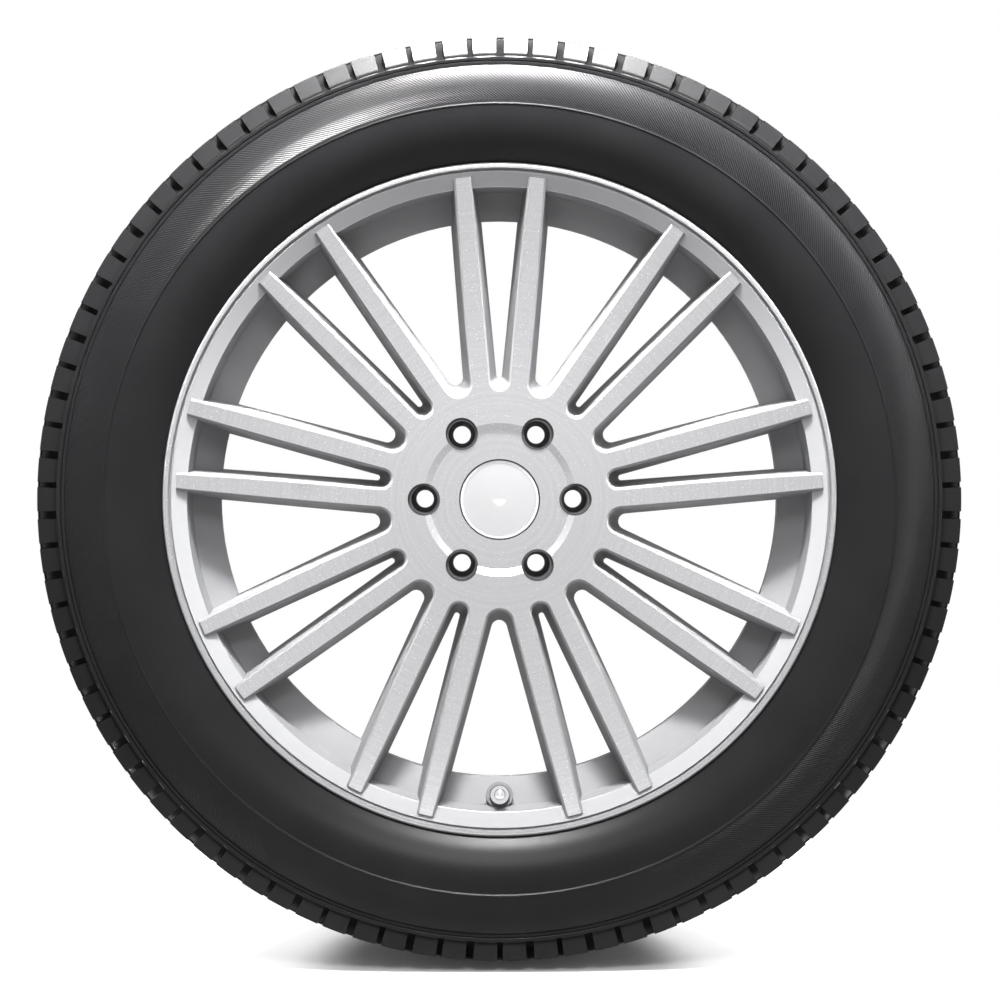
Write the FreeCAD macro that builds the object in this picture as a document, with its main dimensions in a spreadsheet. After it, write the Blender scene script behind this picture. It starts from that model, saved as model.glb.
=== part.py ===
import FreeCAD, Part
import math
import os
import Sketcher

# A road wheel with its tyre: a cast alloy wheel with nine pairs of spokes, a low-profile tyre,
# black lug seats, a snap-in centre cap and a clamp-in tyre valve.
# The origin is the centre of the hub mounting face. Y is the spin axis and points inboard, +Z is up.

doc = FreeCAD.newDocument("road_wheel")
dims = doc.addObject("Spreadsheet::Sheet", "dims")

SIZES = {
    # Rim: bead seat diameter, width between the flanges, and its centre line behind the mounting face
    "rim_diameter": 558.8,
    "rim_width": 241.3,
    "wheel_offset": 25,
    "flange_height": 17.3,
    "flange_depth": 12.35,
    "flange_round": 9.5,
    "bead_seat_width": 20,
    "hump_height": 1,
    "hump_width": 7,
    "well_depth": 22.4,
    "well_slope": 12.5,
    "well_width": 44,
    "barrel_wall": 6.4,
    "barrel_rise": 72,
    "barrel_drop": 8,
    "well_wall": 8,
    "well_draft": 4,
    "lip_width": 13.1,
    "lip_depth": 7.3,
    "lip_groove": 1.6,
    "lip_land": 4.6,
    # Hub and spokes
    "hub_bore": 87.1,
    "hub_bore_depth": 40,
    "cap_clip_bore": 82,
    "cap_clip_depth": 46,
    "hub_pad_diameter": 170,
    "hub_pad_slope": 6,
    "hub_face_depth": 80,
    "hub_face_radius": 95,
    "hub_recess": 4,
    "hub_recess_radius": 62.2,
    "hub_bevel_width": 6,
    "cap_bore": 66,
    "cap_recess": 72.4,
    "cap_recess_depth": 5,
    "spoke_pairs": 9,
    "spoke_tip_radius": 285,
    "spoke_tip_setback": 1,
    "spoke_root_radius": 120,
    "spoke_end_radius": 281,
    "spoke_offset_root": 18.5,
    "spoke_offset_tip": 32.9,
    "spoke_width_root": 18,
    "spoke_width_tip": 14.8,
    "spoke_draft": 6.75,
    "spoke_back_root": 22,
    "spoke_back_tip": 50,
    "spoke_chamfer": 1.6,
    "window_root_radius": 98,
    "window_root_draft": 12.5,
    "window_overrun": 3,
    # Lug seats
    "lug_circle": 135,
    "lug_count": 6,
    "lug_hole": 16,
    "lug_pocket": 28.8,
    "lug_floor": 10,
    "lug_insert_wall": 2,
    "lug_insert_setback": 3,
    "lug_seat_height": 9,
    "lug_seat_land": 6,
    "lug_fit": 0.1,
    "hub_pocket": 26,
    "hub_pocket_depth": 34,
    # Tyre
    "tyre_diameter": 833.4,
    "tyre_width": 302,
    "tread_width": 260,
    "shoulder_drop": 10,
    "shoulder_height": 19,
    "shoulder_lean": 9,
    "shoulder_step": 1.6,
    "sidewall_step_height": 6,
    "sidewall_line": 0.8,
    "sidewall_drop": 0.9,
    "sidewall_rib": 1.2,
    "width_radius": 346,
    "bead_height": 19,
    "bead_thickness": 20,
    "bead_fit": 0.15,
    "sidewall_thickness": 8.5,
    "crown_thickness": 15,
    "carcass_shoulder": 112,
    "groove_depth": 8.5,
    "groove_width": 11,
    "inner_groove": 24,
    "outer_groove": 72,
    "notch_pairs": 47,
    "notch_wide": 7,
    "notch_narrow": 5,
    "notch_depth": 8.5,
    "notch_foot": 1.5,
    "notch_reach": 26,
    # Centre cap
    "cap_fit": 0.3,
    "cap_flange": 3.6,
    "cap_wall": 2.4,
    "cap_hook": 1.2,
    "cap_hook_length": 4,
    "cap_legs": 6,
    "cap_leg_gap": 9,
    "cap_plate": 1.2,
    "cap_rim_width": 3.2,
    "cap_ring_wire": 2,
    # Valve
    "valve_radius": 263.5,
    "valve_tilt": 8,
    "valve_pad_depth": 76,
    "valve_boss": 24,
    "valve_boss_length": 18,
    "valve_spot_face": 20,
    "valve_hole": 11.5,
    "valve_shank": 8.2,
    "valve_thread": 7.7,
    "valve_thread_length": 9,
    "valve_thread_slope": 1,
    "valve_reach": 20.5,
    "valve_head": 15,
    "valve_head_thickness": 4,
    "valve_bore": 5.3,
    "valve_port": 3,
    "grommet_flange": 17.7,
    "grommet_thickness": 1.6,
    "valve_washer_diameter": 16.4,
    "valve_washer_thickness": 1.2,
    "valve_nut_diameter": 16,
    "valve_nut_height": 6.2,
    "valve_nut_recess": 12,
    "valve_nut_recess_depth": 4,
    "valve_fit": 0.1,
    "valve_cap_diameter": 9.9,
    "valve_cap_clearance": 0.3,
    "valve_cap_top": 2.2,
    "valve_seal_thickness": 1.2,
    "valve_seal_gap": 0.2,
    "core_length": 13,
    "core_setback": 1.5,
    "core_bore": 2.2,
    "pin_diameter": 1.4,
    "pin_stand": 1,
    "pin_tail": 24,
    "pin_seal_diameter": 4.4,
    "pin_seal_thickness": 1.7,
    "spring_wire": 0.5,
    "spring_diameter": 3.2,
    "spring_turns": 5,
    "spring_length": 6.4,
}

for row, (name, number) in enumerate(SIZES.items(), start=1):
    dims.set(f"A{row}", name)
    dims.set(f"B{row}", str(number))
    dims.setAlias(f"B{row}", name)
doc.recompute()


class Size:
    """A size of the sheet, or one worked out from such sizes: its number now, and its expression."""

    def __init__(self, number, text):
        self.number = number
        self.text = text

    def __add__(self, other):
        other = size(other)
        return Size(self.number + other.number, f"({self.text} + {other.text})")

    def __sub__(self, other):
        other = size(other)
        return Size(self.number - other.number, f"({self.text} - {other.text})")

    def __mul__(self, other):
        other = size(other)
        return Size(self.number * other.number, f"({self.text} * {other.text})")

    def __truediv__(self, other):
        other = size(other)
        return Size(self.number / other.number, f"({self.text} / {other.text})")

    def __neg__(self):
        return Size(-self.number, f"(0 - {self.text})")


def size(value):
    """The sheet's size of that name, or a plain number as a size."""
    if isinstance(value, Size):
        return value
    if isinstance(value, str):
        return Size(float(dims.get(value)), f"dims.{value}")
    return Size(float(value), repr(float(value)))


def sine(degrees):
    degrees = size(degrees)
    return Size(math.sin(math.radians(degrees.number)), f"sin({degrees.text} * 1 deg)")


def cosine(degrees):
    degrees = size(degrees)
    return Size(math.cos(math.radians(degrees.number)), f"cos({degrees.text} * 1 deg)")


def square_root(value):
    return Size(math.sqrt(value.number), f"sqrt({value.text})")


def bow(reach, rise):
    """Radius of the arc that starts level and rises by rise over reach."""
    return (reach * reach + rise * rise) / (rise * 2)


def new_body(name):
    body = doc.addObject("PartDesign::Body", name)
    body.Label = name
    return body


def origin_of(body, role):
    for feature in body.Origin.OriginFeatures:
        if feature.Role == role:
            return feature


def new_sketch(body, name, role, lift=None, turn=None, about=(0, 0, 1)):
    """A sketch on one of a body's origin planes, lifted along its normal and turned about one axis."""
    sketch = body.newObject("Sketcher::SketchObject", name)
    sketch.AttachmentSupport = [(origin_of(body, role), "")]
    sketch.MapMode = "FlatFace"
    if turn is not None:
        spin = FreeCAD.Rotation(FreeCAD.Vector(*about), turn.number)
        sketch.AttachmentOffset = FreeCAD.Placement(FreeCAD.Vector(0, 0, 0), spin)
        sketch.setExpression("AttachmentOffset.Rotation.Angle", turn.text)
    if lift is not None:
        sketch.setExpression("AttachmentOffset.Base.z", lift.text)
    return sketch


def pin_point(sketch, edge, end, point):
    """Ties one end of an edge to its place, or to the axis that it lies on."""
    for kind, axis, value in (("DistanceX", -2, point[0]), ("DistanceY", -1, point[1])):
        if value.number == 0:
            sketch.addConstraint(Sketcher.Constraint("PointOnObject", edge, end, axis))
        else:
            row = sketch.addConstraint(Sketcher.Constraint(kind, -1, 1, edge, end, value.number))
            sketch.setExpression(f"Constraints[{row}]", value.text)


def vector(point):
    return FreeCAD.Vector(point[0].number, point[1].number, 0)


def outline(sketch, *steps):
    """Closed outline. A step is a point at a line's end, or a point, centre and radius at an arc's end."""
    corners = []
    for step in steps:
        is_arc = isinstance(step[0], tuple)
        corners.append(tuple(size(value) for value in (step[0] if is_arc else step)))
    ends = []
    for index, step in enumerate(steps):
        start, stop = vector(corners[index - 1]), vector(corners[index])
        if isinstance(step[0], tuple):
            centre = vector(tuple(size(value) for value in step[1]))
            radius = size(step[2])
            from_centre, to_centre = start - centre, stop - centre
            first = math.atan2(from_centre.y, from_centre.x)
            last = math.atan2(to_centre.y, to_centre.x)
            forward = from_centre.cross(to_centre).z > 0
            circle = Part.Circle(centre, FreeCAD.Vector(0, 0, 1), radius.number)
            arc = Part.ArcOfCircle(circle, first, last) if forward else Part.ArcOfCircle(circle, last, first)
            edge = sketch.addGeometry(arc, False)
            row = sketch.addConstraint(Sketcher.Constraint("Radius", edge, radius.number))
            sketch.setExpression(f"Constraints[{row}]", radius.text)
            ends.append((edge, 1, 2) if forward else (edge, 2, 1))
        else:
            edge = sketch.addGeometry(Part.LineSegment(start, stop), False)
            ends.append((edge, 1, 2))
    for index, (edge, start, stop) in enumerate(ends):
        before, _, before_stop = ends[index - 1]
        sketch.addConstraint(Sketcher.Constraint("Coincident", before, before_stop, edge, start))
        pin_point(sketch, edge, stop, corners[index])


def revolve(body, name, *steps):
    """Turns an outline of radius and Y once round the Y axis, and adds it to the body."""
    sketch = new_sketch(body, f"{name}_outline", "XY_Plane")
    outline(sketch, *steps)
    turned = body.newObject("PartDesign::Revolution", name)
    turned.Profile = sketch
    turned.ReferenceAxis = (sketch, ["V_Axis"])
    turned.Angle = 360
    return turned


def cylinder(body, kind, name, diameter, height, x, z, back):
    """A round boss or hole along Y, with its inboard end at the given Y."""
    round_bar = body.newObject(f"PartDesign::{kind}Cylinder", name)
    round_bar.AttachmentSupport = [(origin_of(body, "XZ_Plane"), "")]
    round_bar.MapMode = "FlatFace"
    round_bar.setExpression("Radius", (size(diameter) / 2).text)
    round_bar.setExpression("Height", size(height).text)
    round_bar.setExpression("AttachmentOffset.Base.x", size(x).text)
    round_bar.setExpression("AttachmentOffset.Base.y", size(z).text)
    round_bar.setExpression("AttachmentOffset.Base.z", (-size(back)).text)
    return round_bar


def polar_pattern(body, name, features, count):
    """Repeats features evenly round the spin axis."""
    pattern = body.newObject("PartDesign::PolarPattern", name)
    pattern.Originals = features
    pattern.Axis = (origin_of(body, "Y_Axis"), [""])
    pattern.Angle = 360
    pattern.setExpression("Occurrences", size(count).text)
    body.Tip = pattern
    return pattern


# Levels that the pieces share
rim_centre = size("wheel_offset")
seat_radius = size("rim_diameter") / 2
flange_radius = seat_radius + size("flange_height")
outer_flange = rim_centre - size("rim_width") / 2
inner_flange = rim_centre + size("rim_width") / 2
rim_front = outer_flange - size("flange_depth")
rim_back = inner_flange + size("flange_depth")
hub_face = -size("hub_face_depth")
hub_recess_face = hub_face + size("hub_recess")
cap_floor = hub_recess_face + size("cap_recess_depth")
cap_ledge = -size("cap_clip_depth")

# Rim levels, from the outer bead seat to the inner one
seat_end = outer_flange + size("bead_seat_width")
hump_end = seat_end + size("hump_width")
well_start = hump_end + size("well_slope")
well_end = well_start + size("well_width")
barrel_top = well_end + size("barrel_rise")
well_radius = seat_radius - size("well_depth")
bore_radius = seat_radius - size("barrel_wall")
well_bore = well_radius - size("well_wall")
lip_outer = flange_radius - size("lip_land") - size("lip_groove") * 2
lip_front = rim_front + size("lip_groove")
lip_inner = lip_outer - size("lip_width")
lip_edge = lip_front + size("lip_depth")
wall_middle = seat_radius - size("barrel_wall") / 2
well_middle = well_radius - size("well_wall") / 2


# Alloy wheel: hub, spokes and rim are one casting, with drafted windows and a machined face
wheel = new_body("alloy_wheel")

hub_bore_radius = size("hub_bore") / 2
clip_bore_radius = size("cap_clip_bore") / 2
cap_bore_radius = size("cap_bore") / 2
cap_recess_radius = size("cap_recess") / 2
hub_pad_radius = size("hub_pad_diameter") / 2
tip_radius = size("spoke_tip_radius")
tip_face = rim_front + size("spoke_tip_setback")
face_reach = tip_radius - size("hub_face_radius")
face_bow = bow(face_reach, hub_face - tip_face)
pad_edge = hub_pad_radius + size("hub_pad_slope")

revolve(
    wheel, "hub_and_spoke_disc",
    (hub_bore_radius, 0),
    (hub_bore_radius, -size("hub_bore_depth")),
    (clip_bore_radius, -size("hub_bore_depth")),
    (clip_bore_radius, cap_ledge),
    (cap_bore_radius, cap_ledge),
    (cap_bore_radius, cap_floor),
    (cap_recess_radius, cap_floor),
    (cap_recess_radius, hub_recess_face),
    (size("hub_recess_radius"), hub_recess_face),
    (size("hub_recess_radius") + size("hub_bevel_width"), hub_face),
    (size("hub_face_radius"), hub_face),
    ((tip_radius, tip_face), (size("hub_face_radius"), hub_face - face_bow), face_bow),
    (tip_radius, outer_flange - size("flange_depth") / 4),
    (wall_middle, outer_flange),
    (wall_middle, seat_end),
    (well_middle, well_start),
    (well_middle, -size("spoke_back_tip")),
    (pad_edge, -size("spoke_back_root")),
    (hub_pad_radius, 0),
)


def window_outline(sketch, depth, axis_turn, side):
    """Spoke window at one depth: two straight sides, a round end at the hub and an open end past the rim.

    side is -1 for the window between the two spokes of a pair and 1 for the one between two pairs.
    """
    slope = sine("spoke_draft") / cosine("spoke_draft")
    root_slope = sine("window_root_draft") / cosine("window_root_draft")
    points = []
    for radius, offset, width, face in (
        ("spoke_root_radius", "spoke_offset_root", "spoke_width_root", hub_face),
        ("spoke_end_radius", "spoke_offset_tip", "spoke_width_tip", tip_face),
    ):
        along = size(radius)
        half = size(width) / 2 + (depth - face) * slope
        across = size(offset) + half * side
        if side < 0:
            points.append((along, across))
        else:
            points.append((
                along * cosine(axis_turn) + across * sine(axis_turn),
                along * sine(axis_turn) - across * cosine(axis_turn),
            ))
    (near_along, near_half), (far_along, far_half) = points
    lean = (far_half - near_half) / (far_along - near_along)
    cos_lean = size(1) / square_root(lean * lean + 1)
    sin_lean = lean * cos_lean
    start = near_half - lean * near_along
    root = size("window_root_radius") + (depth - hub_face) * root_slope
    centre = (root + start * cos_lean) / (size(1) - sin_lean)
    round_end = centre - root
    touch_along = centre - round_end * sin_lean
    touch_half = round_end * cos_lean
    open_along = flange_radius + size("spoke_root_radius") / 2
    open_half = start + lean * open_along
    outline(
        sketch,
        (-touch_half, touch_along),
        ((0, root), (0, centre), round_end),
        ((touch_half, touch_along), (0, centre), round_end),
        (open_half, open_along),
        (-open_half, open_along),
    )


window_front = rim_front - size("flange_depth")
window_back = size("window_overrun") - size("spoke_back_root")
pair_turn = size(180) / size("spoke_pairs")
for window_name, side in (("pair_window", -1), ("wide_window", 1)):
    turn = pair_turn if side > 0 else size(0)
    front = new_sketch(wheel, f"{window_name}_front", "XZ_Plane", -window_front, turn)
    window_outline(front, window_front, pair_turn, side)
    back = new_sketch(wheel, f"{window_name}_back", "XZ_Plane", -window_back, turn)
    window_outline(back, window_back, pair_turn, side)
    window = wheel.newObject("PartDesign::SubtractiveLoft", window_name)
    window.Profile = front
    window.Sections = [back]
    window.Ruled = True
    polar_pattern(wheel, f"{window_name}s", [window], "spoke_pairs")
doc.recompute()


FACE_TOLERANCE = 0.05


def face_edges(shape):
    """Edges of the machined face: those on the bowed face or the flat hub face, round each window."""
    hub_edge = (size("hub_recess_radius") + size("hub_bevel_width")).number + FACE_TOLERANCE
    tip_edge = tip_radius.number - FACE_TOLERANCE
    found = []
    for index, edge in enumerate(shape.Edges, start=1):
        middle = edge.valueAt((edge.FirstParameter + edge.LastParameter) / 2)
        reach = math.hypot(middle.x, middle.z)
        if not hub_edge < reach < tip_edge:
            continue
        curve = edge.Curve
        is_ring = (curve.TypeId == "Part::GeomCircle"
                   and math.hypot(curve.Center.x, curve.Center.z) < FACE_TOLERANCE)
        past_hub = max(0, reach - size("hub_face_radius").number)
        face = hub_face.number - face_bow.number + math.sqrt(face_bow.number ** 2 - past_hub ** 2)
        if not is_ring and abs(middle.y - face) < FACE_TOLERANCE:
            found.append(f"Edge{index}")
    return found


chamfer_base = wheel.Tip
chamfer = wheel.newObject("PartDesign::Chamfer", "spoke_edges")
chamfer.Base = (chamfer_base, face_edges(chamfer_base.Shape))
chamfer.setExpression("Size", "dims.spoke_chamfer")
doc.recompute()

# The rim is turned on after the windows, so that its lip stays whole between the spokes
flange_round = size("flange_round")
tip_round = size("flange_depth") - flange_round
lip_groove = size("lip_groove")
barrel_outer = seat_radius - size("barrel_drop")
revolve(
    wheel, "rim",
    ((flange_radius, rim_front + tip_round), (flange_radius - tip_round, rim_front + tip_round), tip_round),
    ((flange_radius - flange_round, outer_flange),
     (flange_radius - flange_round, outer_flange - flange_round), flange_round),
    (seat_radius, outer_flange),
    (seat_radius, seat_end),
    (seat_radius + size("hump_height"), seat_end + size("hump_width") / 2),
    (seat_radius, hump_end),
    (well_radius, well_start),
    (well_radius, well_end),
    (barrel_outer, barrel_top),
    (seat_radius, inner_flange - size("bead_seat_width")),
    (seat_radius, inner_flange),
    (flange_radius - flange_round, inner_flange),
    ((flange_radius, inner_flange + flange_round),
     (flange_radius - flange_round, inner_flange + flange_round), flange_round),
    ((flange_radius - tip_round, rim_back), (flange_radius - tip_round, rim_back - tip_round), tip_round),
    (seat_radius, rim_back),
    (bore_radius, inner_flange),
    (barrel_outer - size("barrel_wall"), barrel_top),
    (well_bore + size("well_draft"), well_end),
    (well_bore, well_start - size("well_wall") / 2),
    (bore_radius, hump_end - size("well_wall") / 2),
    (lip_inner, lip_edge),
    (lip_outer, lip_front),
    (lip_outer + lip_groove, lip_front + lip_groove),
    (lip_outer + lip_groove * 2, rim_front),
    (flange_radius - tip_round, rim_front),
)

# Lug pockets from the front, stud holes behind them, and lightening pockets between them in the back
lug_radius = size("lug_circle") / 2
pocket_top = -size("lug_floor")
lug_pocket = cylinder(
    wheel, "Subtractive", "lug_pocket", "lug_pocket", size("hub_face_depth") - size("lug_floor"),
    lug_radius, 0, pocket_top)
polar_pattern(wheel, "lug_pockets", [lug_pocket], "lug_count")
lug_hole = cylinder(wheel, "Subtractive", "lug_hole", "lug_hole", size("lug_floor") * 2, lug_radius, 0, 0)
polar_pattern(wheel, "lug_holes", [lug_hole], "lug_count")
half_lug = size(180) / size("lug_count")
back_pocket = cylinder(
    wheel, "Subtractive", "back_pocket", "hub_pocket", "hub_pocket_depth",
    lug_radius * cosine(half_lug), lug_radius * sine(half_lug), 0)
polar_pattern(wheel, "back_pockets", [back_pocket], "lug_count")


def valve_frame(item):
    """Places a valve piece: its Y axis is the valve's, with zero on the outer face of the valve boss."""
    item.Placement = FreeCAD.Placement(
        FreeCAD.Vector(0, 0, 0), FreeCAD.Rotation(FreeCAD.Vector(-1, 0, 0), size("valve_tilt").number))
    item.setExpression("Placement.Base.y", (-size("valve_pad_depth")).text)
    item.setExpression("Placement.Base.z", (-size("valve_radius")).text)
    item.setExpression("Placement.Rotation.Angle", size("valve_tilt").text)
    return item


def valve_bar(kind, name, diameter, start, length):
    """A round boss or hole in the rim, along the valve's axis."""
    bar = wheel.newObject(f"PartDesign::{kind}Cylinder", name)
    tilt = size("valve_tilt")
    bar.AttachmentSupport = [(origin_of(wheel, "XZ_Plane"), "")]
    bar.MapMode = "FlatFace"
    bar.AttachmentOffset = FreeCAD.Placement(
        FreeCAD.Vector(0, 0, 0), FreeCAD.Rotation(FreeCAD.Vector(1, 0, 0), 180 - tilt.number))
    bar.setExpression("Radius", (size(diameter) / 2).text)
    bar.setExpression("Height", length.text)
    bar.setExpression("AttachmentOffset.Base.y", (-size("valve_radius") - sine(tilt) * start).text)
    bar.setExpression("AttachmentOffset.Base.z", (size("valve_pad_depth") - cosine(tilt) * start).text)
    bar.setExpression("AttachmentOffset.Rotation.Angle", (size(180) - tilt).text)
    return bar


boss_length = size("valve_boss_length")
valve_bar("Additive", "valve_boss", "valve_boss", size(0), boss_length)
valve_bar("Subtractive", "valve_hole", "valve_hole", -boss_length, boss_length * 3)
valve_bar("Subtractive", "valve_spot_face", "valve_spot_face", boss_length, size("valve_head_thickness") * 4)


# Tyre: one moulding, with grooved tread, notched shoulders and a smooth bead that fits the rim
tyre = new_body("tyre")
tyre_radius = size("tyre_diameter") / 2
half_tread = size("tread_width") / 2
half_width = size("tyre_width") / 2
width_radius = size("width_radius")
shoulder_radius = tyre_radius - size("shoulder_drop")
shoulder_foot = shoulder_radius - size("shoulder_height")
foot_half = half_tread + size("shoulder_lean")
step_half = foot_half + size("shoulder_step")
step_radius = shoulder_foot - size("sidewall_step_height")
line = size("sidewall_line")
line_radius = (shoulder_foot + step_radius) / 2
rib = size("sidewall_rib")
wall_half = step_half - size("sidewall_drop")
base_half = half_width - size("sidewall_drop")
upper_bow = bow(step_radius - width_radius, base_half - wall_half)
rib_half = base_half - upper_bow + square_root(upper_bow * upper_bow - rib * rib)
bead_fit = size("bead_fit")
bead_radius = seat_radius + bead_fit
bead_half = size("rim_width") / 2 - bead_fit
flange_top = flange_radius + bead_fit
flange_half = bead_half + bead_fit + flange_round
flange_foot = flange_radius - flange_round
lower_bow = bow(width_radius - rib - flange_top, base_half - flange_half)
crown_bow = bow(half_tread, size("shoulder_drop"))
inner_half = half_width - size("sidewall_thickness")
inner_crown = tyre_radius - size("crown_thickness")
toe_half = bead_half - size("bead_thickness")
bead_top = bead_radius + size("bead_height")
inner_lower = bow(width_radius - bead_top, inner_half - toe_half - size("bead_thickness") / 4)
carcass_half = size("carcass_shoulder")
carcass_radius = inner_crown - size("shoulder_drop")
inner_upper = bow(carcass_radius - width_radius, inner_half - carcass_half)
groove_floor = size("groove_depth")
half_groove = size("groove_width") / 2


def crown_at(across):
    """Radius of the tread at a distance from its centre line."""
    return tyre_radius - crown_bow + square_root(crown_bow * crown_bow - across * across)


def tread_run():
    """Tread from the outboard shoulder to the inboard one, with four grooves that run round the tyre."""
    steps = [(shoulder_radius, rim_centre - half_tread)]
    crown_centre = (tyre_radius - crown_bow, rim_centre)
    grooves = [-size("outer_groove"), -size("inner_groove"), size("inner_groove"), size("outer_groove")]
    for middle in grooves:
        first, last = middle - half_groove, middle + half_groove
        draft = half_groove / 4
        floor = crown_at(middle) - groove_floor
        steps.append(((crown_at(first), rim_centre + first), crown_centre, crown_bow))
        steps.append((floor, rim_centre + first + draft))
        steps.append((floor, rim_centre + last - draft))
        steps.append((crown_at(last), rim_centre + last))
    steps.append(((shoulder_radius, rim_centre + half_tread), crown_centre, crown_bow))
    return steps


def sidewall(hand):
    """Outside of one sidewall from its shoulder down to the bead's toe."""
    def place(radius, across):
        return (radius, rim_centre + across * hand)
    rib_top = width_radius + rib
    return [
        place(shoulder_foot, foot_half),
        place(shoulder_foot, step_half),
        place(line_radius + line, step_half),
        place(line_radius, step_half - line),
        place(line_radius - line, step_half),
        place(step_radius, step_half),
        place(step_radius, wall_half),
        (place(rib_top, rib_half), place(width_radius, base_half - upper_bow), upper_bow),
        place(width_radius, half_width),
        place(width_radius - rib, base_half),
        (place(flange_top, flange_half), place(width_radius - rib, base_half - lower_bow), lower_bow),
        (place(flange_foot, bead_half), place(flange_foot, flange_half), flange_round + bead_fit),
        place(bead_radius, bead_half),
        place(bead_radius, toe_half),
    ]


def lining(hand):
    """Inside of one half of the tyre from the bead's toe up to the crown."""
    def place(radius, across):
        return (radius, rim_centre + across * hand)
    return [
        place(bead_top, toe_half + size("bead_thickness") / 4),
        (place(width_radius, inner_half), place(width_radius, inner_half - inner_lower), inner_lower),
        (place(carcass_radius, carcass_half), place(width_radius, inner_half - inner_upper), inner_upper),
    ]


def backwards(steps, last):
    """The same run of steps from its end to its start, and on to a last point."""
    corners = [step[0] if isinstance(step[0], tuple) else step for step in steps]
    run = []
    for index in range(len(steps) - 1, -1, -1):
        target = corners[index - 1] if index > 0 else last
        step = steps[index]
        run.append((target, step[1], step[2]) if isinstance(step[0], tuple) else target)
    return run


shoulder_out = (shoulder_radius, rim_centre - half_tread)
toe_out = (bead_radius, rim_centre - toe_half)
inside_in = lining(1)
inside_out = lining(-1)
revolve(
    tyre, "tyre_section",
    *tread_run(),
    *sidewall(1),
    *inside_in,
    inside_out[-1][0],
    *backwards(inside_out, toe_out),
    *backwards(sidewall(-1), shoulder_out)[:-1],
)
doc.recompute()


def notches(name, width, turn=None):
    """Slots across both shoulders, repeated round the tyre, and deepest at the tread's edge."""
    reach_half = half_tread - size("notch_reach")
    sketch = new_sketch(tyre, f"{name}_outline", "YZ_Plane", turn=turn, about=(1, 0, 0))
    for hand in (-1, 1):
        corners = (
            (tyre_radius + groove_floor, reach_half),
            (tyre_radius + groove_floor, half_width),
            (shoulder_foot, half_width),
            (shoulder_foot, foot_half - size("notch_foot")),
            (shoulder_radius - size("notch_depth"), half_tread - size("notch_depth")),
            (crown_at(reach_half) - size("notch_foot"), reach_half),
        )
        outline(sketch, *[(rim_centre + across * hand, radius) for radius, across in corners])
    slot = tyre.newObject("PartDesign::Pocket", name)
    slot.Profile = sketch
    slot.Type = "Length"
    slot.SideType = "Symmetric"
    slot.setExpression("Length", size(width).text)
    polar_pattern(tyre, f"{name}_round", [slot], "notch_pairs")


notches("wide_notch", "notch_wide")
notches("narrow_notch", "notch_narrow", size(180) / size("notch_pairs"))
doc.recompute()


# Lug seats: black sleeves pressed into the lug pockets, each with a conical seat for its nut
insert_radius = size("lug_pocket") / 2 - size("lug_fit")
insert_bore = insert_radius - size("lug_insert_wall")
stud_radius = size("lug_hole") / 2
seat_top = pocket_top - size("lug_seat_land")
insert_front = hub_face + size("lug_insert_setback")
for number in range(int(size("lug_count").number)):
    insert = new_body(f"lug_seat_insert_{number + 1}")
    revolve(
        insert, f"lug_seat_sleeve_{number + 1}",
        (stud_radius, pocket_top),
        (insert_radius, pocket_top),
        (insert_radius, insert_front),
        (insert_bore, insert_front),
        (insert_bore, seat_top - size("lug_seat_height")),
        (stud_radius, seat_top),
    )
    lug_turn = size(360) / size("lug_count") * number
    insert.setExpression("Placement.Base.x", (lug_radius * cosine(lug_turn)).text)
    insert.setExpression("Placement.Base.z", (lug_radius * sine(lug_turn)).text)


# Centre cap: a moulded body whose legs hook behind the hub's ledge, a face plate, and the ring that spreads
# the legs
cap_radius = cap_recess_radius - size("cap_fit")
skirt_radius = cap_bore_radius - size("cap_fit")
skirt_bore = skirt_radius - size("cap_wall")
hook_radius = cap_bore_radius + size("cap_hook")
cap_front = cap_floor - size("cap_flange")
plate_floor = cap_front + size("cap_plate")
plate_radius = cap_radius - size("cap_rim_width")
hook_start = cap_ledge + size("cap_fit")
hook_end = hook_start + size("cap_hook_length")
ring_radius = size("cap_ring_wire") / 2
ring_circle = skirt_bore - ring_radius
ring_level = cap_ledge - size("cap_hook_length")

cap = new_body("centre_cap_body")
revolve(
    cap, "cap_turned",
    (0, plate_floor),
    (plate_radius, plate_floor),
    (plate_radius, cap_front),
    (cap_radius, cap_front),
    (cap_radius, cap_floor),
    (skirt_radius, cap_floor),
    (skirt_radius, hook_start),
    (hook_radius, hook_start),
    (skirt_radius, hook_end),
    (skirt_bore, hook_end),
    (skirt_bore, cap_floor),
    (0, cap_floor),
)
leg_gap = new_sketch(cap, "leg_gap_outline", "XZ_Plane", -hook_end)
half_gap = size("cap_leg_gap") / 2
outline(
    leg_gap,
    (-half_gap, skirt_bore - size("cap_wall")),
    (half_gap, skirt_bore - size("cap_wall")),
    (half_gap, hook_radius + size("cap_wall")),
    (-half_gap, hook_radius + size("cap_wall")),
)
gap = cap.newObject("PartDesign::Pocket", "leg_gap")
gap.Profile = leg_gap
gap.Reversed = True
gap.setExpression("Length", (hook_end - cap_floor).text)
polar_pattern(cap, "leg_gaps", [gap], "cap_legs")

plate = new_body("centre_cap_disc")
plate_edge = plate_radius - size("cap_fit")
plate_crown = size("cap_plate") / 2
plate_bow = bow(plate_edge, plate_crown)
revolve(
    plate, "plate_turned",
    (0, plate_floor),
    (plate_edge, plate_floor),
    (plate_edge, cap_front + plate_crown),
    ((0, cap_front), (0, cap_front + plate_bow), plate_bow),
)

ring = doc.addObject("Part::Torus", "centre_cap_spring_ring")
ring.Label = "centre_cap_spring_ring"
ring.Placement = FreeCAD.Placement(FreeCAD.Vector(0, 0, 0), FreeCAD.Rotation(FreeCAD.Vector(1, 0, 0), 90))
ring.setExpression("Radius1", ring_circle.text)
ring.setExpression("Radius2", ring_radius.text)
ring.setExpression("Placement.Base.y", ring_level.text)


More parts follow.
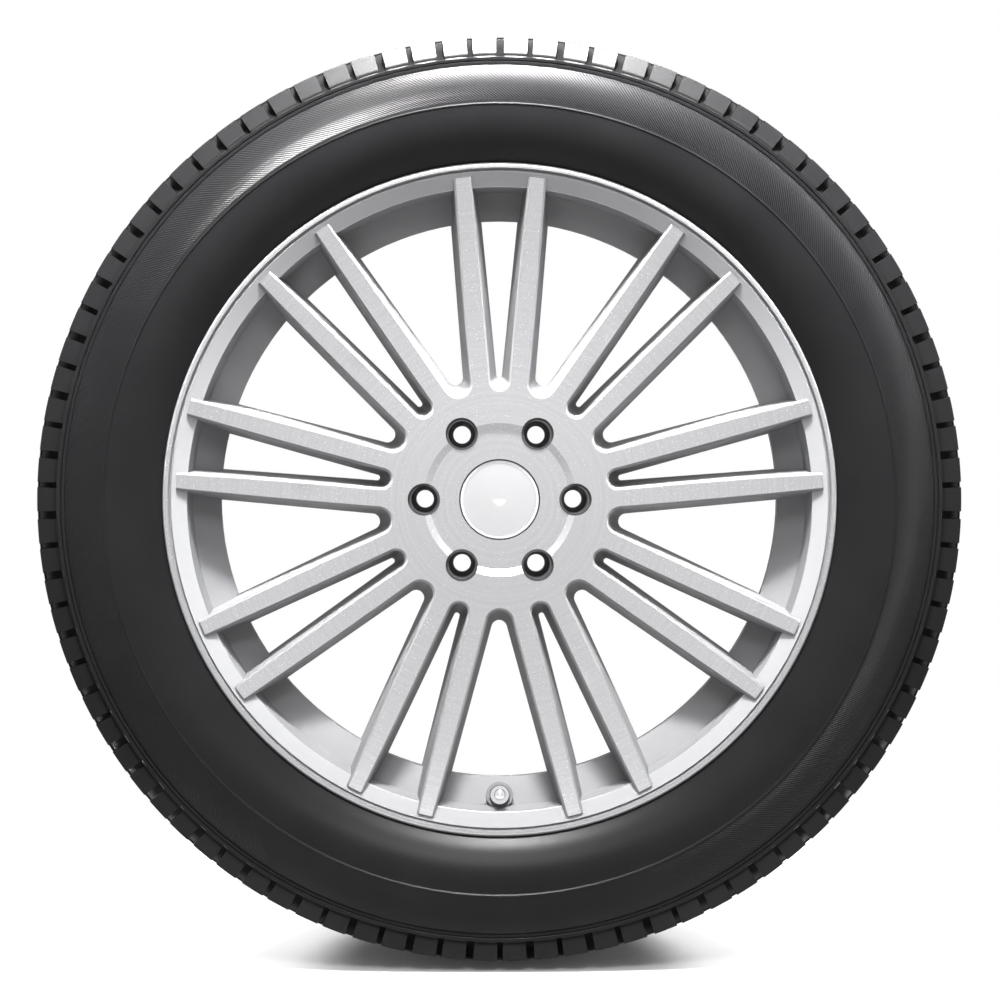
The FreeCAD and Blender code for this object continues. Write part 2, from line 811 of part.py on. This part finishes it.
# Tyre valve, along its own axis: zero on the outer face of the boss, outboard is negative
shank_radius = size("valve_shank") / 2
thread_radius = size("valve_thread") / 2
stem_end = -size("valve_reach")
head_start = boss_length + size("grommet_thickness")
head_end = head_start + size("valve_head_thickness")
valve_bore = size("valve_bore") / 2
port_radius = size("valve_port") / 2
valve_fit = size("valve_fit")
core_start = stem_end + size("core_setback")
core_end = core_start + size("core_length")
seal_start = core_end + valve_fit
seal_end = seal_start + size("pin_seal_thickness")
spring_start = seal_end + valve_fit
spring_end = spring_start + size("spring_length")
bore_end = spring_end + valve_fit

stem = valve_frame(new_body("valve_stem"))
revolve(
    stem, "stem_turned",
    (valve_bore, stem_end),
    (thread_radius, stem_end),
    (thread_radius, stem_end + size("valve_thread_length")),
    (shank_radius, stem_end + size("valve_thread_length") + size("valve_thread_slope")),
    (shank_radius, head_start),
    (size("valve_head") / 2, head_start),
    (size("valve_head") / 2, head_end),
    (port_radius, head_end),
    (port_radius, bore_end),
    (valve_bore, bore_end),
)

grommet = valve_frame(new_body("valve_grommet"))
grommet_bore = shank_radius + valve_fit
grommet_flange = size("grommet_flange") / 2
grommet_sleeve = size("valve_hole") / 2 - valve_fit
grommet_front = -size("grommet_thickness")
revolve(
    grommet, "grommet_moulded",
    (grommet_bore, grommet_front),
    (grommet_flange, grommet_front),
    (grommet_flange, 0),
    (grommet_sleeve, 0),
    (grommet_sleeve, boss_length),
    (grommet_flange, boss_length),
    (grommet_flange, head_start),
    (grommet_bore, head_start),
)

washer = valve_frame(new_body("valve_washer"))
washer_front = grommet_front - size("valve_washer_thickness")
revolve(
    washer, "washer_turned",
    (grommet_bore, washer_front),
    (size("valve_washer_diameter") / 2, washer_front),
    (size("valve_washer_diameter") / 2, grommet_front),
    (grommet_bore, grommet_front),
)

nut = valve_frame(new_body("valve_nut"))
nut_radius = size("valve_nut_diameter") / 2
nut_front = washer_front - size("valve_nut_height")
nut_floor = nut_front + size("valve_nut_recess_depth")
revolve(
    nut, "nut_turned",
    (grommet_bore, nut_floor),
    (size("valve_nut_recess") / 2, nut_floor),
    (size("valve_nut_recess") / 2, nut_front),
    (nut_radius, nut_front),
    (nut_radius, washer_front),
    (grommet_bore, washer_front),
)

core = valve_frame(new_body("valve_core_body"))
core_radius = valve_bore - valve_fit
revolve(
    core, "core_turned",
    (size("core_bore") / 2, core_start),
    (core_radius, core_start),
    (core_radius, core_end),
    (size("core_bore") / 2, core_end),
)

pin = valve_frame(new_body("valve_core_pin"))
pin_radius = size("pin_diameter") / 2
pin_seal = size("pin_seal_diameter") / 2
pin_start = core_start - size("pin_stand")
revolve(
    pin, "pin_turned",
    (0, pin_start),
    (pin_radius, pin_start),
    (pin_radius, seal_start),
    (pin_seal, seal_start),
    (pin_seal, seal_end),
    (pin_radius, seal_end),
    (pin_radius, pin_start + size("pin_tail")),
    (0, pin_start + size("pin_tail")),
)


SPRING_STEPS = 12
SPRING_SIDES = 6


def coil_spring(name, start, length, diameter, wire, turns):
    """A wire coil along the valve's axis, in short straight facets, closed by a flat facet at each end."""
    radius = (diameter.number - wire.number) / 2
    rise = length.number - wire.number
    low = start.number + wire.number / 2
    steps = int(turns.number * SPRING_STEPS)
    rings = []
    for step in range(steps + 1):
        turn = 2 * math.pi * turns.number * step / steps
        level = low + rise * step / steps
        ring = []
        for side in range(SPRING_SIDES):
            around = 2 * math.pi * side / SPRING_SIDES
            reach = radius + wire.number / 2 * math.cos(around)
            height = level + wire.number / 2 * math.sin(around)
            ring.append(FreeCAD.Vector(reach * math.cos(turn), height, reach * math.sin(turn)))
        rings.append(ring)
    facets = [list(rings[0]), list(rings[-1])]
    for lower, upper in zip(rings, rings[1:]):
        for side in range(SPRING_SIDES):
            after = (side + 1) % SPRING_SIDES
            facets.append([lower[side], lower[after], upper[after]])
            facets.append([lower[side], upper[after], upper[side]])
    faces = [Part.Face(Part.makePolygon(facet + facet[:1])) for facet in facets]
    coil = doc.addObject("Part::Feature", name)
    coil.Label = name
    coil.Shape = Part.makeSolid(Part.makeShell(faces))
    return coil


spring = valve_frame(coil_spring(
    "valve_core_spring", spring_start, size("spring_length"), size("spring_diameter"), size("spring_wire"),
    size("spring_turns")))

valve_seal = valve_frame(new_body("valve_cap_seal"))
seal_back = stem_end - size("valve_seal_gap")
seal_front = seal_back - size("valve_seal_thickness")
revolve(
    valve_seal, "cap_seal_moulded",
    (pin_radius + size("valve_cap_clearance") * 2, seal_front),
    (thread_radius, seal_front),
    (thread_radius, seal_back),
    (pin_radius + size("valve_cap_clearance") * 2, seal_back),
)

valve_cap = valve_frame(new_body("valve_cap"))
valve_cap_radius = size("valve_cap_diameter") / 2
valve_cap_bore = thread_radius + size("valve_cap_clearance")
cap_ceiling = seal_front - size("valve_seal_gap")
cap_top = cap_ceiling - size("valve_cap_top")
dome = bow(valve_cap_radius, size("valve_cap_top"))
cap_mouth = nut_floor - size("valve_cap_clearance") * 2
revolve(
    valve_cap, "valve_cap_turned",
    ((0, cap_top), (0, cap_top + dome), dome),
    (0, cap_ceiling),
    (valve_cap_bore, cap_ceiling),
    (valve_cap_bore, cap_mouth),
    (valve_cap_radius, cap_mouth),
    (valve_cap_radius, cap_ceiling),
)
doc.recompute()


# Every piece is checked before any file is written
pieces = [item for item in doc.Objects if item.TypeId in ("PartDesign::Body", "Part::Torus", "Part::Feature")]
for item in doc.Objects:
    if "Invalid" in item.State or "Error" in item.State:
        raise RuntimeError(f"{item.Name} did not build: {item.State}")
for item in pieces:
    if item.Shape.isNull() or not item.Shape.isValid() or len(item.Shape.Solids) != 1:
        raise RuntimeError(f"{item.Label} is not one valid solid")

os.makedirs("parts", exist_ok=True)
for item in pieces:
    item.Shape.exportStep(f"parts/{item.Label}.step")
    print(f"{item.Label}: {item.Shape.Volume:.0f} mm3")
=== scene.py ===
import bpy
import math
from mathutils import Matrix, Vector


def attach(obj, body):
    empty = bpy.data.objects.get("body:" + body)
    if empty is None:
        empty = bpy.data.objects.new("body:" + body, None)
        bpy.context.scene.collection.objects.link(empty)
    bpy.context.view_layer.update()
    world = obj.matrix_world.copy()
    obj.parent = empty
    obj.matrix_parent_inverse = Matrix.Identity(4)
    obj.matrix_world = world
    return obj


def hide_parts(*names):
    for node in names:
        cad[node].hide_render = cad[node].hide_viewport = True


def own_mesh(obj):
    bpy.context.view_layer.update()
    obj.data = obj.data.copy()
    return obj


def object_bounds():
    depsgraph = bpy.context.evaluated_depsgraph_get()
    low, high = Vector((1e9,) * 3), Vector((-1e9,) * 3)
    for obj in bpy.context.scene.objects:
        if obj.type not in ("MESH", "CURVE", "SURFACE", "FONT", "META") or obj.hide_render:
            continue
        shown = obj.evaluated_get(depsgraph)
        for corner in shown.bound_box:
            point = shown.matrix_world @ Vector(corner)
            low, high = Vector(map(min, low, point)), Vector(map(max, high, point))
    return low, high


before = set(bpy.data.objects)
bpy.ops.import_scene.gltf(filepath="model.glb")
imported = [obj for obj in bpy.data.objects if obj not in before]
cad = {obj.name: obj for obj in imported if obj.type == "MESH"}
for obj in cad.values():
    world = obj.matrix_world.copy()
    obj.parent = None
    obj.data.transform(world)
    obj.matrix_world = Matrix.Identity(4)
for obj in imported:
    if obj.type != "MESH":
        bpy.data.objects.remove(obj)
cad_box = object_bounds()


# Alloy wheel
# One aluminium casting: hub, nine pairs of spokes and rim. It is painted silver, and its front faces are turned
# on a lathe and lacquered, so they are brighter than the pockets and carry fine circular tool marks. The rim's
# well and the slope of its lip keep the paint.

WHEEL_FACE = ((0.43, 0.43, 0.44, 1), (0.475, 0.475, 0.485, 1))
WHEEL_POCKET = ((0.16, 0.16, 0.165, 1), (0.19, 0.19, 0.195, 1))
FACE_METALLIC = 0.9
FACE_ROUGHNESS = (0.24, 0.29)
FACE_TILT = (0.74, 0.86)
WELL_RADIUS = 0.243
WELL_DEPTH = -0.085
LIP_PAINT = (0.26, 0.26, 0.267, 1)
LIP_RADIUS = 0.276
LIP_TILT = (0.90, 0.94)
POCKET_ROUGHNESS = 0.6
POCKET_METALLIC = 0.0
TOOL_MARK_PITCH = 0.0035
LACQUER = 0.04
LACQUER_ROUGHNESS = 0.15
PAINT_SPECULAR = 0.05
DRIFT_SHARE = 0.03
GRAIN_STRENGTH = 0.3


def add_node(tree, kind, inputs=None, **settings):
    """A node with its settings, and each named or numbered input set to a value or linked from a socket."""
    node = tree.nodes.new(kind)
    for name, value in settings.items():
        setattr(node, name, value)
    for name, value in (inputs or {}).items():
        if isinstance(value, bpy.types.NodeSocket):
            tree.links.new(value, node.inputs[name])
        else:
            node.inputs[name].default_value = value
    return node


def math_node(tree, operation, first, second=0.0):
    """The result of one Math node."""
    return add_node(tree, "ShaderNodeMath", {0: first, 1: second}, operation=operation).outputs[0]


def ramp(tree, value, low, high, start=0.0, stop=1.0):
    """A value taken from one range to another, and held at its ends."""
    limits = {"Value": value, "From Min": low, "From Max": high, "To Min": start, "To Max": stop}
    return add_node(tree, "ShaderNodeMapRange", limits).outputs["Result"]


def blend_colours(tree, factor, first, second):
    """A colour between two colours."""
    mix = add_node(tree, "ShaderNodeMix", data_type="RGBA")
    for slot, value in (("Factor", factor), ("A", first), ("B", second)):
        socket = next(s for s in mix.inputs if s.name == slot and s.enabled)
        if isinstance(value, bpy.types.NodeSocket):
            tree.links.new(value, socket)
        else:
            socket.default_value = value
    return next(s for s in mix.outputs if s.enabled)


def make_grain():
    """Fine noise: a roughness between two limits, a height for bumps and a slow drift of tone."""
    group = bpy.data.node_groups.new("fine_grain", "ShaderNodeTree")
    for name in ("Scale", "Smoothest", "Roughest"):
        group.interface.new_socket(name, in_out="INPUT", socket_type="NodeSocketFloat")
    for name in ("Roughness", "Height", "Drift"):
        group.interface.new_socket(name, in_out="OUTPUT", socket_type="NodeSocketFloat")
    enter = group.nodes.new("NodeGroupInput")
    place = add_node(group, "ShaderNodeTexCoord").outputs["Object"]
    fine_noise = {"Vector": place, "Scale": enter.outputs["Scale"], "Detail": 3.0}
    height = add_node(group, "ShaderNodeTexNoise", fine_noise).outputs["Fac"]
    slow_scale = math_node(group, "MULTIPLY", enter.outputs["Scale"], DRIFT_SHARE)
    slow_noise = {"Vector": place, "Scale": slow_scale, "Detail": 2.0}
    drift = add_node(group, "ShaderNodeTexNoise", slow_noise).outputs["Fac"]
    limits = {"Value": height, "To Min": enter.outputs["Smoothest"], "To Max": enter.outputs["Roughest"]}
    roughness = add_node(group, "ShaderNodeMapRange", limits).outputs["Result"]
    results = {"Roughness": roughness, "Height": height, "Drift": drift}
    add_node(group, "NodeGroupOutput", results)
    return group


fine_grain = make_grain()


def finish(name, tones, metallic, scale, roughness, relief):
    """A material whose tone drifts between two colours, with grain of a given scale, roughness and height."""
    material = bpy.data.materials.new(name)
    material.use_nodes = True
    tree = material.node_tree
    shader = tree.nodes["Principled BSDF"]
    grain = add_node(tree, "ShaderNodeGroup", node_tree=fine_grain)
    grain.inputs["Scale"].default_value = scale
    grain.inputs["Smoothest"].default_value, grain.inputs["Roughest"].default_value = roughness
    tree.links.new(blend_colours(tree, grain.outputs["Drift"], *tones), shader.inputs["Base Color"])
    tree.links.new(grain.outputs["Roughness"], shader.inputs["Roughness"])
    grain_relief = {"Height": grain.outputs["Height"], "Strength": GRAIN_STRENGTH, "Distance": relief}
    bump = add_node(tree, "ShaderNodeBump", grain_relief)
    tree.links.new(bump.outputs["Normal"], shader.inputs["Normal"])
    shader.inputs["Metallic"].default_value = metallic
    return material, tree, shader, grain


def dress(material, *node_names):
    """Puts a finish on CAD pieces."""
    for node_name in node_names:
        mesh = cad[node_name].data
        mesh.materials.clear()
        mesh.materials.append(material)


def spin_radius(tree):
    """Distance from the spin axis, in metres."""
    place = add_node(tree, "ShaderNodeTexCoord").outputs["Object"]
    flat = add_node(tree, "ShaderNodeVectorMath", {0: place, 1: (1, 0, 1)}, operation="MULTIPLY")
    return add_node(tree, "ShaderNodeVectorMath", {0: flat.outputs[0]}, operation="LENGTH").outputs["Value"]


silver, tree, shader, grain = finish(
    "wheel_silver", WHEEL_FACE, FACE_METALLIC, 800.0, FACE_ROUGHNESS, 0.00005)
texture = add_node(tree, "ShaderNodeTexCoord")
facing = add_node(tree, "ShaderNodeSeparateXYZ", {0: texture.outputs["Normal"]})
depth = add_node(tree, "ShaderNodeSeparateXYZ", {0: texture.outputs["Object"]}).outputs["Y"]
radius = spin_radius(tree)
outside = math_node(tree, "GREATER_THAN", radius, WELL_RADIUS)
in_well = math_node(tree, "MULTIPLY", outside, math_node(tree, "GREATER_THAN", depth, WELL_DEPTH))
tilt = math_node(tree, "MULTIPLY", facing.outputs["Y"], -1.0)
not_in_well = math_node(tree, "SUBTRACT", 1.0, in_well)
is_face = math_node(tree, "MULTIPLY", ramp(tree, tilt, *FACE_TILT), not_in_well)
at_lip = math_node(tree, "MULTIPLY", is_face, math_node(tree, "GREATER_THAN", radius, LIP_RADIUS))
is_lip = math_node(tree, "MULTIPLY", at_lip, ramp(tree, tilt, *LIP_TILT, 1.0, 0.0))
is_turned = math_node(tree, "SUBTRACT", is_face, is_lip)
ring_number = math_node(tree, "DIVIDE", radius, TOOL_MARK_PITCH)
ring_noise = {"W": ring_number, "Scale": 1.0, "Detail": 1.0}
tool_marks = add_node(tree, "ShaderNodeTexNoise", ring_noise, noise_dimensions="1D")
turned = blend_colours(tree, tool_marks.outputs["Fac"], *WHEEL_FACE)
pocket = blend_colours(tree, grain.outputs["Drift"], *WHEEL_POCKET)
painted = blend_colours(tree, is_lip, pocket, LIP_PAINT)
tree.links.new(blend_colours(tree, is_turned, painted, turned), shader.inputs["Base Color"])
tree.links.new(ramp(tree, is_turned, 0.0, 1.0, POCKET_METALLIC, FACE_METALLIC), shader.inputs["Metallic"])
sheen = ramp(tree, is_turned, 0.0, 1.0, POCKET_ROUGHNESS, 0.0)
tree.links.new(math_node(tree, "MAXIMUM", grain.outputs["Roughness"], sheen), shader.inputs["Roughness"])
shader.inputs["Specular IOR Level"].default_value = PAINT_SPECULAR
shader.inputs["Coat Weight"].default_value = LACQUER
shader.inputs["Coat Roughness"].default_value = LACQUER_ROUGHNESS
dress(silver, "alloy_wheel")


# Tyre
# One rubber moulding. Its tread, notched shoulders and sidewall come from the mould with a fine dull grain. The
# notches are rougher inside, and painted shade makes them blacker deep inside. A band of slanted ridges fills
# the upper sidewall, apart from one plain panel.

RUBBER_TONES = ((0.005, 0.005, 0.0055, 1), (0.009, 0.009, 0.0095, 1))
RUBBER_SPECULAR = 0.13
NOTCH_PAINTED_SHADE = (0.002, 0.002, 0.002, 1)
NOTCH_ROUGHNESS = 0.95
NOTCH_SLOPE = (0.894, 0.447)
NOTCH_FLOOR = (0.4104, 0.4130)
NOTCH_RADIUS = 0.389
NOTCH_HALF = 0.105
TYRE_MIDDLE = 0.025
RIDGE_COUNT = 780
RIDGE_OUTER = 0.3800
RIDGE_INNER = 0.3485
RIDGE_SLANT = math.radians(50)
RIDGE_WIDTH = 0.0011
RIDGE_HEIGHT = 0.00028
RIDGE_STEPS = 6
PANEL_START = math.radians(175)
PANEL_STOP = math.radians(235)

rubber, tree, shader, grain = finish("tyre_rubber", RUBBER_TONES, 0.0, 700.0, (0.28, 0.36), 0.00012)
shader.inputs["Specular IOR Level"].default_value = RUBBER_SPECULAR
place = add_node(tree, "ShaderNodeTexCoord").outputs["Object"]
radius = spin_radius(tree)
depth = add_node(tree, "ShaderNodeSeparateXYZ", {0: place}).outputs["Y"]
from_middle = math_node(tree, "ABSOLUTE", math_node(tree, "SUBTRACT", depth, TYRE_MIDDLE))
radial_part = math_node(tree, "MULTIPLY", radius, NOTCH_SLOPE[0])
height = math_node(tree, "ADD", radial_part, math_node(tree, "MULTIPLY", from_middle, NOTCH_SLOPE[1]))
on_shoulder = math_node(
    tree, "MULTIPLY", math_node(tree, "GREATER_THAN", radius, NOTCH_RADIUS),
    math_node(tree, "GREATER_THAN", from_middle, NOTCH_HALF))
in_notch = math_node(tree, "MULTIPLY", on_shoulder, ramp(tree, height, *NOTCH_FLOOR, 1.0, 0.0))
rubber_tone = blend_colours(tree, grain.outputs["Drift"], *RUBBER_TONES)
# Painted shade: the notch interiors are coloured near black, for the shade deep inside them.
tree.links.new(blend_colours(tree, in_notch, rubber_tone, NOTCH_PAINTED_SHADE), shader.inputs["Base Color"])
dull = math_node(tree, "MULTIPLY", in_notch, NOTCH_ROUGHNESS)
tree.links.new(math_node(tree, "MAXIMUM", grain.outputs["Roughness"], dull), shader.inputs["Roughness"])
dress(rubber, "tyre")

bpy.ops.object.select_all(action="DESELECT")
bpy.ops.mesh.primitive_grid_add(x_subdivisions=2, y_subdivisions=RIDGE_STEPS, size=1)
ridges = bpy.context.object
ridges.name = "sidewall_ridges"
run = RIDGE_OUTER - RIDGE_INNER
along = Vector((-math.sin(RIDGE_SLANT), 0, math.cos(RIDGE_SLANT)))
across = Vector((math.cos(RIDGE_SLANT), 0, math.sin(RIDGE_SLANT)))
middle = Vector((0, cad_box[0][1], (RIDGE_OUTER + RIDGE_INNER) / 2))
crest = []
for point in ridges.data.vertices:
    side, step = point.co.x, point.co.y
    if abs(side) < 0.1:
        crest.append(point.index)
    point.co = middle + across * (side * RIDGE_WIDTH) + along * (step * run / math.cos(RIDGE_SLANT))
wrap = ridges.modifiers.new("onto_sidewall", "SHRINKWRAP")
wrap.target = cad["tyre"]
wrap.wrap_method = "PROJECT"
wrap.use_project_y = True
wrap.use_positive_direction = True
bpy.ops.object.modifier_apply(modifier=wrap.name)
for index in crest:
    ridges.data.vertices[index].co.y -= RIDGE_HEIGHT
turn_start = PANEL_STOP - math.pi / 2
sweep = 2 * math.pi - (PANEL_STOP - PANEL_START)
bpy.ops.object.mode_set(mode="EDIT")
bpy.ops.mesh.select_all(action="SELECT")
bpy.ops.transform.rotate(value=turn_start, orient_axis="Y", center_override=(0, 0, 0))
copies = round(RIDGE_COUNT * sweep / (2 * math.pi))
bpy.ops.mesh.spin(steps=copies, dupli=True, angle=-sweep, center=(0, 0, 0), axis=(0, 1, 0))
bpy.ops.mesh.select_all(action="SELECT")
bpy.ops.mesh.normals_make_consistent(inside=False)
bpy.ops.object.mode_set(mode="OBJECT")
ridges.data.materials.append(rubber)
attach(ridges, "wheel")


# Lug seats
# Six turned steel sleeves with a conical seat for the nut. They are coated black and pressed into the lug
# pockets of the wheel.

LUG_BLACK = ((0.016, 0.016, 0.018, 1), (0.024, 0.024, 0.026, 1))
lug_black = finish("lug_seat_black", LUG_BLACK, 0.0, 600.0, (0.30, 0.45), 0.0001)[0]
dress(lug_black, *[f"lug_seat_insert_{number}" for number in range(1, 7)])


# Centre cap
# A moulded body, painted silver, that snaps into the hub. Painted shade darkens its outer edge, for the shaded
# gap round it. A brushed aluminium plate is let into its face, bare, and a spring wire ring inside spreads its
# legs.

CAP_SILVER = ((0.50, 0.50, 0.51, 1), (0.56, 0.56, 0.57, 1))
CAP_EDGE = 0.0348
CAP_EDGE_SHADE = (0.02, 0.02, 0.022, 1)
PLATE_METAL = ((0.60, 0.60, 0.61, 1), (0.65, 0.65, 0.66, 1))
SPRING_STEEL = ((0.46, 0.46, 0.47, 1), (0.54, 0.54, 0.55, 1))

cap_paint, tree, shader, grain = finish("cap_body_silver", CAP_SILVER, 0.6, 500.0, (0.28, 0.36), 0.0001)
# Painted shade: a near-black ring at the cap's outer edge, for the shade in the gap round it.
in_edge_shade = math_node(tree, "GREATER_THAN", spin_radius(tree), CAP_EDGE)
silver_coat = blend_colours(tree, grain.outputs["Drift"], *CAP_SILVER)
tree.links.new(blend_colours(tree, in_edge_shade, silver_coat, CAP_EDGE_SHADE), shader.inputs["Base Color"])
dress(cap_paint, "centre_cap_body")

plate_metal = finish("cap_plate_aluminium", PLATE_METAL, 1.0, 900.0, (0.30, 0.38), 0.0001)[0]
dress(plate_metal, "centre_cap_disc")

spring_steel = finish("spring_steel", SPRING_STEEL, 1.0, 900.0, (0.28, 0.40), 0.0001)[0]
dress(spring_steel, "centre_cap_spring_ring", "valve_core_spring")


# Tyre valve
# A clamp-in valve: turned brass stem and core, rubber grommet and cap seal, and a chromed washer, nut and cap.
# The nut holds it in the rim, and the cap screws onto the stem.

CHROME = ((0.70, 0.70, 0.72, 1), (0.76, 0.76, 0.78, 1))
BRASS = ((0.62, 0.47, 0.22, 1), (0.70, 0.55, 0.28, 1))
VALVE_RUBBER = ((0.012, 0.012, 0.013, 1), (0.018, 0.018, 0.019, 1))
chrome = finish("valve_chrome", CHROME, 1.0, 1200.0, (0.10, 0.18), 0.00005)[0]
dress(chrome, "valve_washer", "valve_nut", "valve_cap")
brass = finish("valve_brass", BRASS, 1.0, 1200.0, (0.22, 0.34), 0.00005)[0]
dress(brass, "valve_stem", "valve_core_body", "valve_core_pin")
seal_rubber = finish("valve_rubber", VALVE_RUBBER, 0.0, 900.0, (0.50, 0.65), 0.0001)[0]
dress(seal_rubber, "valve_grommet", "valve_cap_seal")

# The core's spring shortens by the pin's stroke. This coil is a copy of it that rides with the wheel and stands
# for the rigid one, which is hidden.
coil = bpy.data.objects.new("valve_core_coil", cad["valve_core_spring"].data.copy())
bpy.context.scene.collection.objects.link(coil)
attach(coil, "wheel")
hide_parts("valve_core_spring")
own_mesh(coil)


# Studio
# A white floor that fades into a white background. A soft key and a top light stand in front, a narrow one
# lights the tyre's crown, one hangs behind and above, and two low ones keep the shadow close to the tyre.

FLOOR_WHITE = (0.85, 0.85, 0.85, 1)
FLOOR_ROUGHNESS = 0.8
FLOOR_SIZE = 4
FLOOR_FADE = (0.45, 1.0)
FLOOR_GLOW = 0.03
WORLD_FILL = 0.6

bpy.ops.object.select_all(action="DESELECT")
bpy.ops.mesh.primitive_plane_add(size=FLOOR_SIZE, location=(0, 0, cad_box[0][2]))
floor = bpy.context.object
floor.name = "studio_floor"
floor_white = bpy.data.materials.new("studio_floor_white")
floor_white.use_nodes = True
tree = floor_white.node_tree
shader = tree.nodes["Principled BSDF"]
shader.inputs["Base Color"].default_value = FLOOR_WHITE
shader.inputs["Roughness"].default_value = FLOOR_ROUGHNESS
shader.inputs["Specular IOR Level"].default_value = 0.0
shader.inputs["Emission Color"].default_value = (1, 1, 1, 1)
is_camera = add_node(tree, "ShaderNodeLightPath").outputs["Is Camera Ray"]
glow = math_node(tree, "MULTIPLY", is_camera, FLOOR_GLOW)
tree.links.new(glow, shader.inputs["Emission Strength"])
place = add_node(tree, "ShaderNodeTexCoord").outputs["Object"]
away = add_node(tree, "ShaderNodeVectorMath", {0: place}, operation="LENGTH").outputs["Value"]
tree.links.new(ramp(tree, away, *FLOOR_FADE, 1.0, 0.0), shader.inputs["Alpha"])
floor.data.materials.append(floor_white)

world = bpy.data.worlds.new("studio_white")
bpy.context.scene.world = world
world.use_nodes = True
tree = world.node_tree
ray = add_node(tree, "ShaderNodeLightPath")
seen = math_node(tree, "MAXIMUM", ray.outputs["Is Camera Ray"], ray.outputs["Is Glossy Ray"])
seen = math_node(tree, "MAXIMUM", seen, ray.outputs["Is Transmission Ray"])
backdrop = tree.nodes["Background"]
backdrop.inputs["Color"].default_value = (1, 1, 1, 1)
tree.links.new(ramp(tree, seen, 0.0, 1.0, WORLD_FILL, 1.0), backdrop.inputs["Strength"])


def softbox(name, place, aim, width, height, watts, beam=180):
    """A rectangular studio light that faces a point. A grid in front of it narrows its beam, in degrees."""
    lamp = bpy.data.lights.new(name, "AREA")
    lamp.shape = "RECTANGLE"
    lamp.size = width
    lamp.size_y = height
    lamp.energy = watts
    lamp.spread = math.radians(beam)
    holder = bpy.data.objects.new(name, lamp)
    bpy.context.scene.collection.objects.link(holder)
    holder.location = place
    holder.rotation_euler = (Vector(aim) - Vector(place)).to_track_quat("-Z", "Y").to_euler()


softbox("key_softbox", (0.15, -2.2, 1.6), (0, -0.1, -0.1), 1.0, 0.7, 30)
softbox("top_softbox", (0.05, -0.80, 1.4), (0, -0.1, 0.2), 0.9, 0.30, 26)
softbox("crown_softbox", (0.0, -0.62, 1.5), (0, -0.1, 0.48), 1.5, 0.30, 26, 24)
softbox("overhead_softbox", (0, 0.6, 2.0), (0, 0.3, -0.4), 1.6, 1.0, 16)
softbox("left_floor_softbox", (-1.0, 0.7, 0.25), (-0.42, 0.15, -0.42), 0.4, 0.3, 1.5, 30)
softbox("right_floor_softbox", (1.0, 0.7, 0.25), (0.42, 0.15, -0.42), 0.4, 0.3, 1.5, 30)

# Camera: level with the wheel, a little left of and above its centre, straight at its face
SENSOR_WIDTH = 36
EYE_SIDE = -0.023
EYE_HEIGHT = 0.027
VIEW_DISTANCE = 2.4
FRAME_WIDTH = 0.8789
WHEEL_FRONT = -0.108
eye = Vector((EYE_SIDE, WHEEL_FRONT - VIEW_DISTANCE, EYE_HEIGHT))
aim = Vector((0, WHEEL_FRONT, 0))
lens = bpy.data.cameras.new("front_camera")
lens.sensor_width = SENSOR_WIDTH
lens.lens = SENSOR_WIDTH * VIEW_DISTANCE / FRAME_WIDTH
camera = bpy.data.objects.new("front_camera", lens)
bpy.context.scene.collection.objects.link(camera)
camera.location = eye
camera.rotation_euler = (aim - eye).to_track_quat("-Z", "Y").to_euler()
bpy.context.scene.camera = camera
bpy.context.scene.view_settings.view_transform = "Standard"
